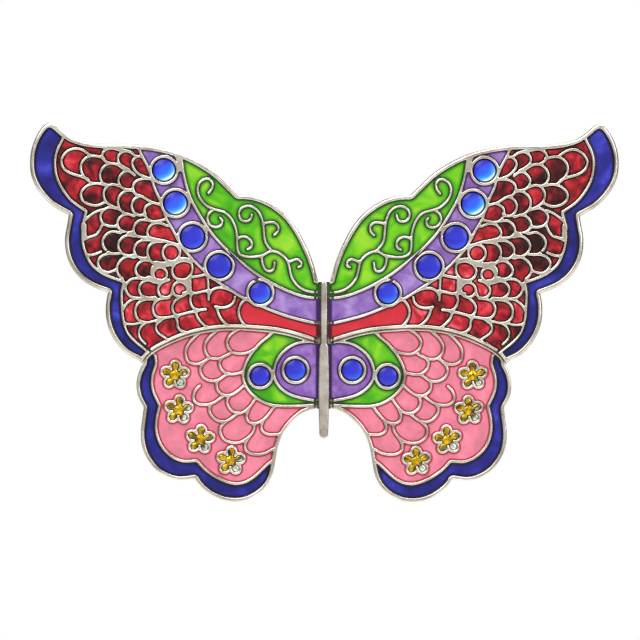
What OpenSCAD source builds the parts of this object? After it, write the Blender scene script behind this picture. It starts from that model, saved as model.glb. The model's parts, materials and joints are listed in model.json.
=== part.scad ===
// Enamelled butterfly brooch with a hinged pin stem and a roll-over safety catch.
// Drawn in millimetres, +Z up, +Y towards the wearer, so the face looks along -Y.
// The origin is on the closed pin stem's axis, in the plane that halves the butterfly.
// A wing is drawn flat: u runs outwards from the body, v runs up, and z runs to the face.

/* [Wing] */
// Thickness of the plate behind each wing
plate_t = 0.6; // [0.4:0.1:1]
// Height of the forewing's cell walls above the plate
fore_wall_h = 1.5; // [1:0.1:2]
// Height of the hindwing's cell walls above the plate
hind_wall_h = 0.95; // [0.7:0.05:1.4]
// Width of the rim round each wing
rim_w = 0.46; // [0.4:0.02:0.6]
// Width of the walls between cells
wall_w = 0.3; // [0.26:0.02:0.36]
// Width of the curled wires in the green panel
curl_w = 0.27; // [0.24:0.01:0.32]
// How far the enamel lies below the wall tops
enamel_drop = 0.28; // [0.1:0.02:0.5]

/* [Stones] */
// Width of the collar round each blue stone
collar_w = 0.32; // [0.26:0.02:0.4]
// Height of a blue stone's dome above its girdle
dome_h = 0.35; // [0.2:0.05:0.6]
// Distance of a flower's petals from its centre
petal_at = 0.92; // [0.85:0.01:1]
// Radius of a flower's petals
petal_r = 0.38; // [0.34:0.01:0.42]

/* [Body] */
// Width of the body bar below the forewings
bar_w = 0.92; // [0.8:0.02:1.1]
// Width of the body bar between the forewings
bar_neck_w = 0.62; // [0.5:0.02:0.9]
// Height of the body bar above the back of the wings
bar_h = 2.3; // [2:0.1:2.6]
// Width of the rib behind the body
rib_w = 3.2; // [2.6:0.1:4]

/* [Pin] */
// Height of the pin stem above the line where the two wings meet the body
pin_v = 5; // [3:0.5:8]
// Distance from the wings' back to the pin stem's axis
standoff = 2.6; // [2.4:0.1:3.2]
// Distance from the middle of the brooch to the hinge rivet, and to the catch
pin_reach = 15; // [12:0.5:16]
// Diameter of the pin stem
stem_d = 0.8; // [0.7:0.05:0.9]
// Diameter of the hinge rivet
rivet_d = 0.7; // [0.6:0.05:0.8]

/* [Hidden] */
SIDES = ["left", "right"];
fit_gap = 0.05;
seat_gap = 0.02;
sliver_w = 0.1;
stone_gap = 0.03;
flower_rim = 0.28;
heart_share = 0.62;
curve_steps = 2;
ring_fn = 40;
wire_fn = 28;
small_fn = 8;
petal_fn = 14;
// Beyond every edge of a wing
far = 60;
// Ends of the body bar and of the rib, along v
bar_top_v = 5.15;
bar_foot_v = -11.4;
shoulder_v = -1.35;
rib_foot_v = -8.4;
rib_t = 0.7;
// Where a wing's edge runs along the body
root_u = 0.62;
hind_rim_w = rim_w - 0.06;
// The hindwing's wall along the forewing's foot
under_wall_w = 0.27;
// Hinge and catch
foot_l = 3.6;
foot_w = 3;
foot_t = 0.5;
ear_t = 0.5;
ear_r = 1;
knuckle_t = 0.9;
knuckle_r = 0.95;
rivet_head_t = 0.2;
taper_l = 5;
tip_past = 2.2;
tip_d = 0.12;
catch_l = 1.1;
catch_r = 1.8;
barrel_r = 1.05;
bore_r = 0.56;
slot_w = 0.96;
flange_r = 1.4;
flange_t = 0.35;
lever_w = 1.1;
lever_l = 2.4;
// How far a wing leans in per millimetre of height, in full from this far beyond the edge along the body
wing_lean = 0.012;
lean_from = 3;
fore_top = plate_t + fore_wall_h;
hind_top = plate_t + hind_wall_h;

// Edges of the forewing, from the body along the top, round the tip and back. They meet at sharp notches.
FORE_EDGES = [
    [[root_u, 5.1], [0.95, 6.35], [1.45, 7.8], [2.1, 9.2], [2.9, 10.6], [4, 12], [5.5, 13.2], [7, 13.9],
     [8.2, 14.15], [9.2, 14.2]],
    [[9.2, 14.2], [10.2, 15.15], [11.4, 16.3], [13, 17.4], [15, 18.4], [17, 19], [19, 19.35],
     [21, 19.5], [23.3, 19.5], [25.3, 19.7], [26.9, 20.2], [28, 21], [28.6, 21.5], [29.15, 21.7],
     [29.7, 21.5], [30.3, 20.75], [30.8, 19.7], [31.1, 18.5], [31.15, 17.3], [31, 16.2], [30.55, 15.1],
     [29.8, 14.05], [28.7, 13], [27, 12.05]],
    [[27, 12.05], [27.15, 11], [27.35, 9.8], [27.3, 8.5], [26.95, 7.2], [26.2, 5.95], [25.2, 5],
     [24, 4.35], [22.75, 3.9]],
    [[22.75, 3.9], [22.95, 2.7], [22.9, 1.2], [22.45, -0.3], [21.6, -1.65], [20.5, -2.65],
     [19.5, -3.15], [19.1, -3.55]]
];
FORE_FOOT = [[19.1, -3.55], [18.5, -2.65], [17.5, -1.9], [16, -1.15], [14.5, -0.55], [13, -0.15],
             [11, 0.15], [9, 0.2], [7, 0.1], [5, -0.1], [3, -0.55], [root_u, -1.3]];
// Edges of the hindwing. Its top lies behind the forewing's foot.
HIND_HIDDEN = [[root_u, 0], [10, 1.5], [17, 0.5], [18.9, -3.4]];
HIND_EDGES = [
    [[18.9, -3.4], [19.35, -4.3], [19.6, -5.3], [19.6, -6.3], [19.35, -7.25], [18.85, -8.15]],
    [[18.85, -8.15], [18.95, -9.2], [19.1, -10.6], [19, -12], [18.55, -13.3], [17.6, -14.6],
     [16.4, -15.4], [15, -15.8], [13.35, -15.65]],
    [[13.35, -15.65], [12.7, -16.5], [11.6, -17.35], [10.3, -17.9], [9, -18.05], [7.8, -17.85],
     [6.6, -17.2], [5.7, -16.3], [5.2, -15.2], [4.95, -13.9], [4.7, -12.4], [4.2, -11], [3.3, -9.75],
     [2.1, -8.7], [root_u, -8.15]]
];
// Lines between the colours
BORDER_LINE = [
    [[27.7, 20.6], [27.75, 20], [28.2, 19.1], [28.48, 18.1], [28.48, 17], [28.25, 15.9], [27.7, 14.8],
     [26.8, 13.65], [25.9, 12.95], [25.15, 12.45]],
    [[25.15, 12.45], [25.42, 11.3], [25.52, 10.2], [25.45, 9.1], [25.1, 7.9], [24.45, 6.8],
     [23.4, 5.95], [22.3, 5.45], [21.1, 5.05]],
    [[21.1, 5.05], [21.3, 3.9], [21.25, 2.5], [21.1, 1.1], [20.6, -0.3], [19.7, -1.3], [18.75, -2.05],
     [18.3, -2.5]]
];
LILAC_LINE = [[19.9, 19.6], [19.5, 18.5], [18.85, 17.3], [18.4, 16.2], [18.1, 15.1], [17.6, 14],
              [17.1, 12.8], [16.75, 11.7], [16.2, 10.8], [15.6, 9.7], [14.95, 8.6], [14.1, 7.6],
              [13.1, 6.6], [12.2, 5.75], [11.1, 4.95], [9.9, 4.2], [8.7, 3.45], [7.3, 2.8], [5.8, 2.15],
              [4.2, 1.55], [2.4, 1.05], [0.6, 0.65]];
GREEN_LINE = [[15.35, 18.6], [15.2, 17.5], [14.95, 16.2], [14.6, 14.9], [14.15, 13.7], [13.5, 12.5],
              [12.75, 11.3], [11.9, 10.1], [10.9, 9], [9.8, 7.95], [8.5, 6.9], [7.1, 5.85], [5.6, 4.95],
              [4.2, 4.25], [2.6, 3.65], [1.4, 3.4], [0.6, 3.35]];
BAND_END = [[8.3, 3.25], [8.75, 2.75], [9, 2.05], [8.9, 1.35], [8.55, 0.75], [8.1, 0.3]];
HIND_LINE = [
    [[17.7, -2.7], [17.6, -3.6], [17.9, -4.6], [18, -5.6], [17.8, -6.6], [17.15, -7.95]],
    [[17.15, -7.95], [17.4, -9], [17.5, -10.2], [17.3, -11.3], [16.75, -12.4], [15.8, -13.3],
     [14.6, -13.8], [13.15, -13.75]],
    [[13.15, -13.75], [12.4, -14.55], [11.4, -15.3], [10.3, -15.85], [9.2, -16.15], [8.1, -16],
     [7.1, -15.4], [6.3, -14.65], [5.5, -13.9], [4.9, -13.6]]
];
CRESCENT_LINE = [[5.35, -0.1], [5.75, -0.6], [6.6, -1.3], [7.4, -2.2], [8, -3.15], [8.4, -4.2],
                 [8.4, -5.2], [7.95, -6.2], [7.1, -7.05], [6.1, -7.65], [5, -7.95], [3.6, -8],
                 [2, -7.95], [0.6, -7.85]];
PURPLE_LINE = [[0.6, -1.2], [2.2, -1.25], [3.3, -1.6], [4.3, -2.35], [4.95, -3.3], [5.2, -4.4],
               [5, -5.35], [4.4, -6.15], [3.4, -6.8], [2.1, -7.2], [0.6, -7.45]];

// Walls of the red scales, each a hook that opens towards the body
SCALES = [
    [[24.9, 18.35], [25.7, 18.9], [26.6, 19], [27.4, 18.6], [27.85, 17.8], [27.6, 16.95], [26.8, 16.4],
     [25.8, 16.1], [25, 15.8]],
    [[23.4, 18.05], [24.4, 18.25], [25.2, 18.1], [25.75, 17.4], [25.7, 16.5], [25.2, 15.85],
     [24.6, 15.35]],
    [[23.25, 19.6], [23.35, 18.95]],
    [[21.7, 18.85], [22.6, 19.05], [23.3, 18.85], [23.6, 18.3], [23.3, 17.75], [22.7, 17.45]],
    [[23.2, 15.2], [24.2, 15.35], [25.1, 15.1], [25.7, 14.45], [25.6, 13.65], [24.9, 13.15],
     [24, 13.05], [23.2, 13.4]],
    [[21.3, 16.9], [22, 17.35], [22.8, 17.45], [23.5, 17], [23.78, 16.2], [23.5, 15.45], [22.9, 15.15]],
    [[21.55, 15], [22.3, 15.25], [22.95, 15.1], [23.35, 14.4], [23.2, 13.6], [22.6, 13.05],
     [21.6, 12.6]],
    [[22.1, 19.5], [21.6, 18.7]],
    [[20, 18.2], [20.6, 18.65], [21.3, 18.75], [21.85, 18.3], [21.85, 17.6], [21.3, 17.1],
     [20.7, 16.8]],
    [[20.1, 16.2], [20.7, 16.65], [21.3, 16.55], [21.8, 15.9], [21.7, 15.2], [21.1, 14.75],
     [20.4, 14.7]],
    [[19.3, 18.15], [19.95, 18.2], [20.4, 17.6], [20.2, 16.9], [19.5, 16.25], [18.6, 15.9]],
    [[18.4, 15.85], [19.3, 15.85], [20.05, 15.55], [20.3, 14.9], [20, 14.25], [19.2, 13.95],
     [18.4, 13.45], [17.4, 13.15]],
    [[19.5, 14.1], [20.15, 13.7], [20.4, 13], [20.1, 12.3], [19.5, 12], [18.9, 12.2]],
    [[18.3, 13.3], [18.9, 12.95], [19.05, 12.25], [18.7, 11.6], [18, 11.35], [17, 11.55]],
    [[20.2, 14.6], [21, 14.6], [21.65, 14.1], [21.85, 13.4], [21.6, 12.6], [20.9, 12.1]],
    [[21.9, 12.7], [22.8, 12.85], [23.5, 12.4], [23.65, 11.7], [23.3, 11.1], [22.6, 10.85],
     [21.8, 10.9]],
    [[20.1, 11.9], [20.9, 12.15], [21.6, 11.8], [21.88, 11.1], [21.5, 10.45], [20.8, 10.2],
     [20.2, 10.3]],
    [[23.5, 12.6], [24.2, 12.35], [24.9, 11.85], [25.4, 11.4]],
    [[23.45, 11.1], [23.7, 10.5], [24.1, 9.95], [24.7, 9.75], [25.3, 9.5]],
    [[25.1, 7.85], [24.4, 7.85], [23.5, 8.2]],
    [[21.5, 10.15], [22.4, 10.3], [23.1, 9.9], [23.4, 9.2], [23.15, 8.5], [22.5, 8], [21.6, 8]],
    [[20, 9.8], [20.8, 9.92], [21.5, 9.5], [21.75, 8.8], [21.4, 8.1], [20.7, 7.75], [20, 7.9]],
    [[22.1, 7.95], [22.9, 7.95], [23.6, 7.6], [23.85, 7], [23.5, 6.3], [22.8, 6], [22.05, 6.25]],
    [[20, 7.55], [20.7, 7.7], [21.4, 7.35], [21.85, 6.6], [21.7, 5.85], [21.2, 5.35]],
    [[18.7, 5.25], [19.6, 5.4], [20.4, 5.25], [20.9, 4.6], [20.75, 3.9], [20.2, 3.4], [19.3, 3.3]],
    [[17.7, 5.05], [18.6, 5.2], [19.25, 4.9], [19.5, 4.3], [19.25, 3.65], [18.6, 3.35], [17.7, 3.4]],
    [[16.3, 5.25], [17.1, 4.95], [17.5, 4.3], [17.3, 3.65], [16.75, 3.38], [16.15, 3.6], [16, 4.3]],
    [[14.1, 7.1], [14.9, 7.25], [15.7, 6.95], [16.05, 6.3], [15.85, 5.6], [15.2, 5.25], [14.4, 5.4],
     [13.95, 6.1], [13.95, 6.7], [14.1, 7.2]],
    [[12.15, 3.6], [11.85, 4.15], [11.2, 4.42], [10.4, 4.35], [9.8, 4.1]],
    [[15.6, 7.35], [14.8, 7.5], [14.1, 7.3], [13.6, 7.15]],
    [[17, 9.25], [17.9, 9.2], [18.5, 8.8], [18.68, 8.1], [18.45, 7.35], [17.9, 6.95], [17.1, 6.9]],
    [[16.6, 10.9], [17.4, 11.2], [18.2, 11.1], [18.7, 10.4], [18.55, 9.75], [17.8, 9.5], [16.8, 9.3],
     [15.6, 8.95]],
    [[18.6, 11.5], [19.5, 11.5], [20.05, 11], [20.15, 10.3], [19.7, 9.8], [18.9, 9.7]],
    [[18.3, 9.4], [19.2, 9.4], [19.85, 9], [20.08, 8.3], [19.75, 7.7], [19.1, 7.5], [18.5, 7.6]],
    [[18.2, 7.2], [19, 7.3], [19.65, 6.9], [19.9, 6.25], [19.6, 5.65], [19, 5.38], [18.3, 5.5]],
    [[17.9, 5.3], [18.2, 5.9], [18.15, 6.5], [17.7, 6.9]],
    [[12.4, 5.85], [13.2, 5.65], [14.1, 5.5]],
    [[14.35, 5.5], [14.3, 4.7], [14.2, 3.95]],
    [[12.35, 5.9], [12.25, 5], [12.2, 4.1], [12.15, 3.15]],
    [[14.9, 3.85], [14.2, 3.9], [13.5, 3.85], [12.9, 4], [12.2, 4.1]],
    [[13.9, 3.9], [14.1, 3.2], [13.9, 2.5], [13.4, 2.1], [12.4, 2.15]],
    [[15.2, 3.4], [15.75, 2.95], [15.98, 2.3], [15.75, 1.7], [15.3, 1.4]],
    [[16.3, 3.35], [17.2, 3.25], [17.8, 2.9], [18.02, 2.2], [17.75, 1.5], [17.2, 1.25], [16.4, 1.3],
     [15.4, 1.5], [14.3, 1.8], [13.5, 1.95], [12.9, 2.1]],
    [[18, 3.2], [18.9, 3.15], [19.55, 2.8], [19.85, 2.1], [19.7, 1.3], [19.2, 0.85], [18.5, 0.75],
     [17.7, 0.95], [16.8, 1.2]],
    [[19.3, 3.3], [20.1, 3.2], [20.8, 2.7], [21.15, 2.1]],
    [[21.05, 0.7], [20.4, 0.55], [19.7, 0.6], [19.1, 0.85]],
    [[18.6, 0.75], [19.2, 0.35], [19.45, -0.3], [19.25, -0.95], [18.7, -1.5]],
    [[17.1, 1], [17.6, 0.6], [17.65, 0.05], [17.3, -0.45], [16.6, -0.9]],
    [[15.6, 1.4], [15.4, 0.8], [15.35, 0.3], [15, -0.1], [14.5, -0.3]],
    [[13.5, 2], [13.3, 1.3], [12.8, 0.7], [12.2, 0.2]],
    [[11.5, 2.45], [10.8, 2.32], [10, 2.5], [9.5, 3], [9.4, 3.6]],
    [[11.3, 2.4], [11.1, 1.7], [10.7, 1], [10, 0.4]]
];
// Places where the casting is broader between the cells
BROAD_WALLS = [
    [[15.75, 18.6], [15.3, 17.4], [15.3, 16.9]], [[25.4, 11], [25.35, 9.7]],
    [[23.3, 19.35], [22.6, 19.3], [21.9, 19.3]], [[17.8, 6.95], [17.1, 6.85], [16.3, 6.95]],
    [[18.5, 5.4], [17.9, 5.15], [17.2, 5.05]], [[14.25, 5.1], [14.25, 4.5], [14.2, 4]]
];
// Round red cells: centre and mean radius of the wall
RED_RINGS = [[16.15, 8.1, 0.92], [17.3, 5.85, 0.72], [15.2, 4.25, 0.78]];

// Curled wires of the green panel
CURLS = [
    [[12.35, 14.35], [12.05, 14.75], [11.9, 15.25], [12.2, 15.8], [12.75, 15.85], [13.3, 15.45],
     [13.5, 14.75], [13.35, 14.05], [12.9, 13.4], [12.2, 12.85], [11.3, 12.55], [10.5, 12.3],
     [9.85, 11.6], [9.45, 10.7], [9.28, 9.7], [9.25, 8.75], [9, 8], [8.2, 7.68], [7.3, 7.7],
     [6.5, 7.85], [5.8, 8.25], [5.1, 8.2], [4.4, 7.8], [3.9, 7.2], [3.7, 6.4], [3.45, 5.5], [2.9, 4.75],
     [2.2, 4.25], [1.4, 4], [0.6, 3.95]],
    [[11.75, 12.65], [12.25, 12.25], [12.42, 11.65], [12.15, 11.05], [11.55, 10.78], [11, 10.98],
     [10.85, 11.45], [11.1, 11.8]],
    [[7.75, 12.1], [7.9, 11.6], [8.4, 11.4], [8.9, 11.6], [9.12, 12.15], [8.9, 12.75], [8.3, 13.02],
     [7.6, 12.9], [7, 12.35], [6.65, 11.5], [6.5, 10.6], [6.4, 9.6], [6.1, 8.9], [5.5, 8.25]],
    [[6.6, 11.15], [6, 11.3], [5.4, 11.3], [5, 10.95], [4.97, 10.4], [5.4, 9.95]],
    [[9.25, 9.6], [8.7, 9.8], [8.15, 9.7], [7.75, 9.25], [7.75, 8.7], [8.2, 8.45]],
    [[6.65, 7.8], [6.6, 7.1], [6.3, 6.4], [5.8, 6.15], [5.4, 6.4], [5.3, 7.1]],
    [[3.85, 7.15], [3.4, 7.3], [2.9, 7.45], [2.5, 7.15], [2.45, 6.75], [2.8, 6.6]]
];
// Walls of the pink scales
PINK_SCALES = [
    [[13.2, -0.4], [13.9, -1.1], [14.4, -1.8], [14.5, -2.6], [14.25, -3.3], [13.5, -3.6], [12.8, -3.45],
     [12.1, -3]],
    [[11.4, -0.2], [12.1, -0.85], [12.5, -1.6], [12.4, -2.4], [11.9, -2.95], [11.1, -3.02],
     [10.3, -2.75], [9.7, -2.35]],
    [[9, 0.1], [9.8, -0.5], [10.2, -1.2], [10, -1.95], [9.4, -2.42], [8.6, -2.5], [7.8, -2.3],
     [7.1, -1.9]],
    [[9.9, -2.55], [10.6, -2.85], [10.95, -3.4], [10.75, -4.1], [10.2, -4.55], [9.4, -4.65],
     [8.4, -4.4]],
    [[12.1, -3], [12.75, -3.6], [12.95, -4.3], [12.6, -5], [11.9, -5.35], [11.1, -5.3], [10.5, -4.9],
     [10, -4.6]],
    [[11.15, -5.3], [11.2, -6], [10.9, -6.55], [10.3, -6.88], [9.6, -6.8], [8.9, -6.35], [8.2, -5.7]],
    [[12.95, -5.85], [13.4, -6.3], [13.62, -6.9], [13.5, -7.5], [12.9, -7.85], [12.1, -7.85],
     [11.4, -7.6], [10.5, -6.95]],
    [[11.8, -7.75], [11.95, -8.4], [11.65, -9.05], [11, -9.55], [10.2, -9.6], [9.5, -9.2], [8.9, -8.7]],
    [[9.9, -6.85], [10.08, -7.5], [9.85, -8.2], [9.2, -8.7], [8.5, -8.7], [7.8, -8.2], [7.1, -7.2]],
    [[7.75, -8.2], [8, -8.9], [7.85, -9.55], [7.2, -9.82], [6.4, -9.55], [5.7, -8.85], [5.1, -8]],
    [[6.25, -9.5], [6.45, -10.2], [6.2, -10.75], [5.5, -11], [4.5, -10.95]],
    [[10.1, -9.6], [10.7, -10.2], [10.68, -11], [10.2, -11.6], [9.3, -11.88], [8.4, -11.7],
     [7.6, -11.1], [7.2, -10.4], [7.2, -9.8]],
    [[7.7, -11.2], [8.1, -11.9], [8.05, -12.6], [7.5, -13], [6.7, -13.08], [5.9, -12.9], [5.2, -12.5]]
];
// Blue stones of one wing: centre u, v and radius. The last two sit in the hindwing.
DOTS = [[17.05, 16.78, 1.26], [15.8, 13.3, 1.3], [13.95, 9.75, 1.34], [11.1, 6.72, 1.34],
        [6.75, 3.9, 1.2], [2.95, -4.2, 1.18], [6.65, -4.85, 1.1]];
fore_dots = 5;
// Flowers of one hindwing: centre u, v and lean in degrees
FLOWERS = [[15.6, -4.75, 2], [15.15, -8.4, 4], [12.85, -11.5, 6], [9.6, -13.75, 4]];

// Parts that each wing has one of
WING_PARTS = [
    "back_plate", "forewing_frame", "hindwing_frame", "forewing_blue_border", "red_scales", "red_band",
    "lilac_panels", "green_panel", "pink_scales", "hindwing_blue_border", "green_crescents", "purple_eye"
];

// ---------- curves ----------
// Leans a point of a wing in towards the body the more the higher it lies, but not the edge along the body
function leant(q) = [q[0] - wing_lean * q[1] * min(1, (q[0] - root_u) / lean_from), q[1]];

// Catmull-Rom curve through the points p
function at(p, i) = i < 0 ? 2 * p[0] - p[1] : i >= len(p) ? 2 * p[len(p) - 1] - p[len(p) - 2] : p[i];
function blend(a, b, c, d, t) =
    0.5 * (2 * b + (c - a) * t + (2 * a - 5 * b + 4 * c - d) * t * t + (3 * b - a - 3 * c + d) * t * t * t);
function curve(p) = let (q = [for (point = p) leant(point)]) concat(
    [for (i = [0 : len(q) - 2], k = [0 : curve_steps - 1])
        blend(at(q, i - 1), q[i], at(q, i + 1), at(q, i + 2), k / curve_steps)],
    [q[len(q) - 1]]
);
function centre_of(spot) = leant([spot[0], spot[1]]);
function joined(edges) = [for (e = edges) each curve(e)];
function unit(d) = d / norm(d);
function normal_at(c, i) = let (d = unit(at(c, i + 1) - at(c, i - 1))) [-d[1], d[0]];

// A wall of width w along a curve, with round ends
module wire(p, w) {
    c = curve(p);
    polygon(concat(
        [for (i = [0 : len(c) - 1]) c[i] + normal_at(c, i) * w / 2],
        [for (i = [len(c) - 1 : -1 : 0]) c[i] - normal_at(c, i) * w / 2]
    ));
    for (end = [c[0], c[len(c) - 1]])
        translate(end) circle(d = w, $fn = small_fn);
}

module ring(spot, r_mean, w)
    translate(centre_of(spot)) difference() {
        circle(r = r_mean + w / 2, $fn = wire_fn);
        circle(r = r_mean - w / 2, $fn = wire_fn);
    }

// ---------- outlines ----------
module fore_outline() polygon(concat(joined(FORE_EDGES), curve(FORE_FOOT)));

module whole_hindwing() polygon(concat(curve(HIND_HIDDEN), joined(HIND_EDGES)));

module hind_outline()
    difference() {
        whole_hindwing();
        offset(delta = seat_gap) fore_outline();
    }

module flower_outline(grow, lean)
    offset(delta = grow) rotate(lean) union() {
        circle(r = petal_at * heart_share, $fn = petal_fn);
        for (k = [0 : 4])
            rotate(72 * k + 90) translate([petal_at, 0]) scale([1.15, 1])
                circle(r = petal_r, $fn = petal_fn);
    }

// ---------- colour zones ----------
module border_zone() polygon(concat(joined(BORDER_LINE), [[far, -far], [far, far]]));
module red_zone() polygon(concat(curve(LILAC_LINE), [[0, -far], [far, -far], [far, far]]));
module green_zone() polygon(concat(curve(GREEN_LINE), [[-far, 0], [-far, far]]));
module band_zone() polygon(concat(curve(BAND_END), [[0, -far], [0, far]]));
module hind_border_zone() polygon(concat(joined(HIND_LINE), [[0, -far], [far, -far], [far, 0]]));
module crescent_zone() polygon(concat(curve(CRESCENT_LINE), [[0, -7.85], [0, 0]]));
module purple_zone() polygon(concat(curve(PURPLE_LINE), [[0, -7.45], [0, -1.2]]));

// ---------- pierced frames ----------
// Closes every chink too thin to hold enamel
module closed_up()
    offset(delta = -sliver_w) offset(delta = sliver_w) children();

// The seats of the round stones, grown by the given amount
module stone_seats(grow)
    for (d = DOTS)
        translate(centre_of(d)) circle(r = d[2] + grow, $fn = wire_fn);

// The wall beside the body, half of it cut off by the wing's own edge
module root_wall(v)
    translate([root_u, v]) square([0.4, 20], center = true);

module fore_walls_2d()
    difference() {
        closed_up() intersection() {
            fore_outline();
            union() {
                for (e = FORE_EDGES)
                    wire(e, 2 * rim_w);
                wire(FORE_FOOT, 2 * wall_w + 0.15);
                root_wall(0);
                for (e = BORDER_LINE)
                    wire(e, wall_w);
                for (line = [LILAC_LINE, GREEN_LINE, BAND_END])
                    wire(line, wall_w);
                for (patch = BROAD_WALLS)
                    wire(patch, 2 * wall_w);
                for (s = SCALES)
                    wire(s, wall_w);
                for (c = CURLS) {
                    wire(c, curl_w);
                    translate(leant(c[0])) circle(d = curl_w * 1.2, $fn = small_fn);
                }
                for (r = RED_RINGS)
                    ring(r, r[2], wall_w);
                for (i = [0 : fore_dots - 1])
                    ring(DOTS[i], DOTS[i][2] + collar_w / 2, collar_w);
            }
        }
        stone_seats(0);
    }

module hind_walls_2d()
    difference() {
        closed_up() intersection() {
            hind_outline();
            union() {
                for (e = HIND_EDGES)
                    wire(e, 2 * hind_rim_w);
                wire(FORE_FOOT, 2 * under_wall_w);
                root_wall(-10);
                for (e = HIND_LINE)
                    wire(e, wall_w);
                for (line = [CRESCENT_LINE, PURPLE_LINE])
                    wire(line, wall_w);
                for (s = PINK_SCALES)
                    wire(s, wall_w);
                for (i = [fore_dots : len(DOTS) - 1])
                    ring(DOTS[i], DOTS[i][2] + collar_w / 2, collar_w);
                for (f = FLOWERS)
                    translate(centre_of(f)) flower_outline(flower_rim, f[2]);
            }
        }
        stone_seats(0);
        for (f = FLOWERS)
            translate(centre_of(f)) flower_outline(0, f[2]);
    }

// ---------- enamel ----------
// A flat shape set back from its walls, without the slivers that are too thin to fill
module set_back()
    intersection() {
        offset(delta = -seat_gap) children();
        offset(delta = sliver_w) offset(delta = -sliver_w) children();
    }

// The open cells within the zone given as children
module fore_cells()
    set_back() intersection() {
        difference() {
            offset(delta = -wall_w / 2) fore_outline();
            fore_walls_2d();
            stone_seats(collar_w / 2);
        }
        children();
    }

module hind_cells()
    set_back() intersection() {
        difference() {
            offset(delta = -wall_w / 3) hind_outline();
            hind_walls_2d();
            stone_seats(collar_w / 2);
            for (f = FLOWERS)
                translate(centre_of(f)) flower_outline(flower_rim / 2, f[2]);
        }
        children();
    }

// ---------- placing ----------
// Turns a wing's flat drawing to face -Y, on the named side of the body
module on(side)
    translate([0, -standoff, -pin_v]) rotate([90, 0, 0]) mirror([side == "left" ? 1 : 0, 0, 0]) children();

module slab(z_low, z_high)
    translate([0, 0, z_low]) linear_extrude(z_high - z_low) children();

// Enamel fills a zone's cells to just below the wall tops
module fore_fill()
    slab(plate_t + seat_gap, fore_top - enamel_drop) fore_cells() children();
module hind_fill()
    slab(plate_t + seat_gap, hind_top - enamel_drop) hind_cells() children();

// ---------- wing parts ----------
module back_plate(side)
    color("gainsboro") on(side) slab(0, plate_t) offset(delta = -seat_gap) union() {
        fore_outline();
        whole_hindwing();
    }

module forewing_frame(side)
    color("gainsboro") on(side) slab(plate_t, fore_top) fore_walls_2d();

module hindwing_frame(side)
    color("gainsboro") on(side) slab(plate_t, hind_top) hind_walls_2d();

module forewing_blue_border(side)
    color("mediumblue") on(side) fore_fill() border_zone();

module red_scales(side)
    color("crimson") on(side) fore_fill() difference() {
        red_zone();
        border_zone();
        band_zone();
    }

module red_band(side)
    color("crimson") on(side) fore_fill() intersection() {
        red_zone();
        band_zone();
    }

module lilac_panels(side)
    color("plum") on(side) fore_fill() difference() {
        square(4 * far, center = true);
        red_zone();
        green_zone();
    }

module green_panel(side)
    color("limegreen") on(side) fore_fill() green_zone();

module pink_scales(side)
    color("hotpink") on(side) hind_fill() difference() {
        square(4 * far, center = true);
        hind_border_zone();
        crescent_zone();
    }

module hindwing_blue_border(side)
    color("mediumblue") on(side) hind_fill() hind_border_zone();

module green_crescents(side)
    color("limegreen") on(side) hind_fill() difference() {
        crescent_zone();
        purple_zone();
    }

module purple_eye(side)
    color("mediumpurple") on(side) hind_fill() purple_zone();

// A round stone with a straight girdle and a domed top
module blue_stone(side, i) {
    r = DOTS[i][2] - stone_gap;
    girdle_top = i < fore_dots ? fore_top : hind_top;
    peak = girdle_top + dome_h - enamel_drop;
    dome_r = (r * r + dome_h * dome_h) / (2 * dome_h);
    color("royalblue") on(side) translate(centre_of(DOTS[i])) intersection() {
        translate([0, 0, plate_t + seat_gap]) cylinder(r = r, h = peak - plate_t, $fn = ring_fn);
        translate([0, 0, peak - dome_r]) sphere(r = dome_r, $fn = ring_fn);
    }
}

module flower(side, i)
    color("goldenrod") on(side) slab(plate_t + seat_gap, hind_top - enamel_drop / 2)
        translate(centre_of(FLOWERS[i])) flower_outline(-seat_gap, FLOWERS[i][2]);

// ---------- body ----------
// A bar with round ends at the heights v_top and v_foot
module rod(v_top, v_foot, w)
    hull() {
        translate([0, v_top - w / 2]) circle(d = w, $fn = ring_fn);
        translate([0, v_foot + w / 2]) circle(d = w, $fn = ring_fn);
    }

module body_bar()
    color("silver") on("right") slab(seat_gap, bar_h) {
        rod(bar_top_v, bar_foot_v, bar_neck_w);
        rod(shoulder_v, bar_foot_v, bar_w);
    }

module back_rib()
    color("silver") on("right") slab(-rib_t, 0) rod(bar_top_v, rib_foot_v, rib_w);

// ---------- pin, hinge and catch ----------
// A soldered foot on the back of a wing
module foot(x)
    translate([x - foot_l / 2, -standoff, -foot_w / 2]) cube([foot_l, foot_t, foot_w]);

module rivet_hole(d)
    translate([-pin_reach, 0, 0]) cylinder(d = d, h = 4 * knuckle_t, center = true, $fn = ring_fn);

module ear(z_low)
    translate([-pin_reach, 0, z_low]) {
        cylinder(r = ear_r, h = ear_t, $fn = ring_fn);
        translate([-ear_r, foot_t - standoff, 0]) cube([2 * ear_r, standoff - foot_t, ear_t]);
    }

// Clevis that holds the pin stem's knuckle between two ears
module pin_joint()
    color("silver") difference() {
        union() {
            foot(-pin_reach);
            ear(knuckle_t / 2 + fit_gap);
            ear(-knuckle_t / 2 - fit_gap - ear_t);
        }
        rivet_hole(rivet_d + seat_gap);
    }

module hinge_rivet() {
    shank = knuckle_t + 2 * (fit_gap + ear_t + seat_gap);
    color("darkgray") translate([-pin_reach, 0, 0]) {
        cylinder(d = rivet_d, h = shank + 2 * rivet_head_t, center = true, $fn = ring_fn);
        for (flip = [0, 180])
            rotate([flip, 0, 0]) translate([0, 0, shank / 2])
                cylinder(d = 1.5 * rivet_d, h = rivet_head_t, $fn = ring_fn);
    }
}

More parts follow.
